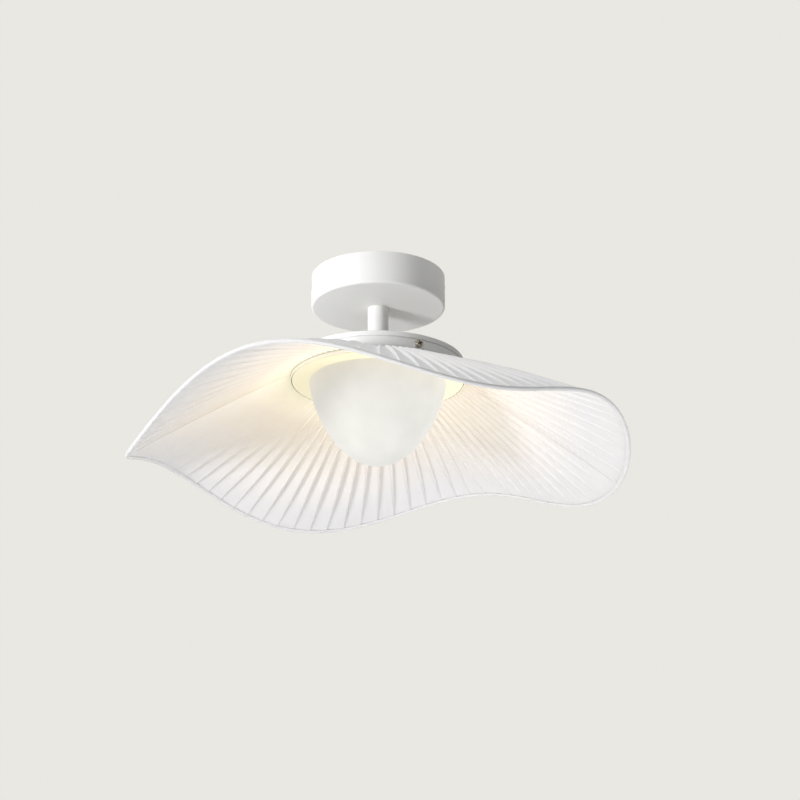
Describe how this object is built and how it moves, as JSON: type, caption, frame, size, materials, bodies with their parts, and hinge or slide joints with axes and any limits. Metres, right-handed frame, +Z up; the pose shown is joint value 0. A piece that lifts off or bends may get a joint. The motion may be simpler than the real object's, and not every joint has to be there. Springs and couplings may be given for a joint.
{
  "type": "pleated ceiling light",
  "caption": "Round ceiling cup and short stem carrying a flat lamp drum with an opal dome and a wide wavy pleated fabric shade.",
  "frame": {"origin": "centre of the bracket's top face, on the ceiling", "axes": "+Z up into the ceiling, the lamp hangs along -Z; the viewer of the picture is on -Y"},
  "size_m": [0.4462, 0.4582, 0.1935],
  "materials": {
    "painted_white": "fine matt white powder coat",
    "pan_white": "satin white paint, lit warm by the lamp",
    "zinc_steel": "bright zinc plate",
    "brass": "plain turned brass",
    "white_nylon": "moulded nylon",
    "cable_sheath": "smooth white PVC sheath",
    "earth_wire": "green and yellow PVC",
    "screw_nickel": "nickel plate, darkened in the recess",
    "aluminium_plate": "rolled sheet",
    "board_white": "white solder mask",
    "chip_phosphor": "yellow phosphor",
    "driver_case": "moulded case",
    "opal_diffuser": "satin opal acrylic",
    "pleated_fabric": "white linen-look fabric pressed on a stiff liner",
    "rim_tape": "woven white binding tape"
  },
  "bodies": {
    "fitting": {"ceiling_bracket": "zinc_steel", "terminal_block": "white_nylon", "terminal_screws": "brass", "earth_screw": "brass", "earth_lead": "earth_wire", "earth_tag": "brass", "ceiling_cup": "painted_white", "upper_nipple": "brass", "upper_washer": "zinc_steel", "upper_locknut": "brass", "nipple_bushes": "white_nylon", "stem": "painted_white", "supply_cable": "cable_sheath", "lower_nipple": "brass", "lower_washer": "zinc_steel", "lower_locknut": "brass", "drum_cap": "painted_white", "drum_wall": "painted_white", "bottom_pan": "pan_white", "pan_bushes": "zinc_steel", "heat_plate": "aluminium_plate", "standoffs": "brass", "plate_screws": "zinc_steel", "light_board": "board_white", "light_chips": "chip_phosphor", "board_plug": "white_nylon", "board_screws": "zinc_steel", "driver": "driver_case", "driver_screws": "zinc_steel", "board_lead": "cable_sheath"},
    "dome": {"opal_dome": "opal_diffuser"},
    "shade": {"shade_ring": "painted_white", "shade_front": "pleated_fabric", "shade_back": "pleated_fabric", "rim_wire": "zinc_steel", "rim_tape": "rim_tape"},
    "side_washer_1": {"side_washer_1": "screw_nickel"},
    "side_screw_1": {"side_screw_1": "screw_nickel"},
    "side_washer_2": {"side_washer_2": "screw_nickel"},
    "side_screw_2": {"side_screw_2": "screw_nickel"},
    "side_washer_3": {"side_washer_3": "screw_nickel"},
    "side_screw_3": {"side_screw_3": "screw_nickel"},
    "cup_screw_left": {"cup_screw_left": "screw_nickel"},
    "cup_screw_right": {"cup_screw_right": "screw_nickel"}
  },
  "joints": [
    {"name": "dome_twist", "type": "hinge", "parent": "fitting", "child": "dome", "pos_m": [0, 0, -0.102], "axis": [0, 0, -1], "range_deg": [0, 25]},
    {"name": "shade_turn", "type": "hinge", "parent": "fitting", "child": "shade", "pos_m": [0, 0, -0.102], "axis": [0, 0, 1], "continuous": true},
    {"name": "side_screw_1_out", "type": "slide", "parent": "fitting", "child": "side_washer_1", "axis": [0.454, -0.891, 0], "range_m": [0, 0.0035]},
    {"name": "side_screw_1_turn", "type": "hinge", "parent": "side_washer_1", "child": "side_screw_1", "pos_m": [0.03541, -0.0695, -0.0921], "axis": [0.454, -0.891, 0], "range_deg": [0, 1800]},
    {"name": "side_screw_2_out", "type": "slide", "parent": "fitting", "child": "side_washer_2", "axis": [0.5446, 0.8387, 0], "range_m": [0, 0.0035]},
    {"name": "side_screw_2_turn", "type": "hinge", "parent": "side_washer_2", "child": "side_screw_2", "pos_m": [0.04248, 0.06542, -0.0921], "axis": [0.5446, 0.8387, 0], "range_deg": [0, 1800]},
    {"name": "side_screw_3_out", "type": "slide", "parent": "fitting", "child": "side_washer_3", "axis": [-0.9986, 0.0523, 0], "range_m": [0, 0.0035]},
    {"name": "side_screw_3_turn", "type": "hinge", "parent": "side_washer_3", "child": "side_screw_3", "pos_m": [-0.07789, 0.00408, -0.0921], "axis": [-0.9986, 0.0523, 0], "range_deg": [0, 1800]},
    {"name": "cup_screw_left_out", "type": "slide", "parent": "fitting", "child": "cup_screw_left", "axis": [-1, 0, 0], "range_m": [0, 0.003]},
    {"name": "cup_screw_right_out", "type": "slide", "parent": "fitting", "child": "cup_screw_right", "axis": [1, 0, 0], "range_m": [0, 0.003]}
  ],
  "couplings": [
    {"joint": "side_screw_1_turn", "follows": "side_screw_1_out", "rad_per_m": 8976},
    {"joint": "side_screw_2_turn", "follows": "side_screw_2_out", "rad_per_m": 8976},
    {"joint": "side_screw_3_turn", "follows": "side_screw_3_out", "rad_per_m": 8976}
  ]
}
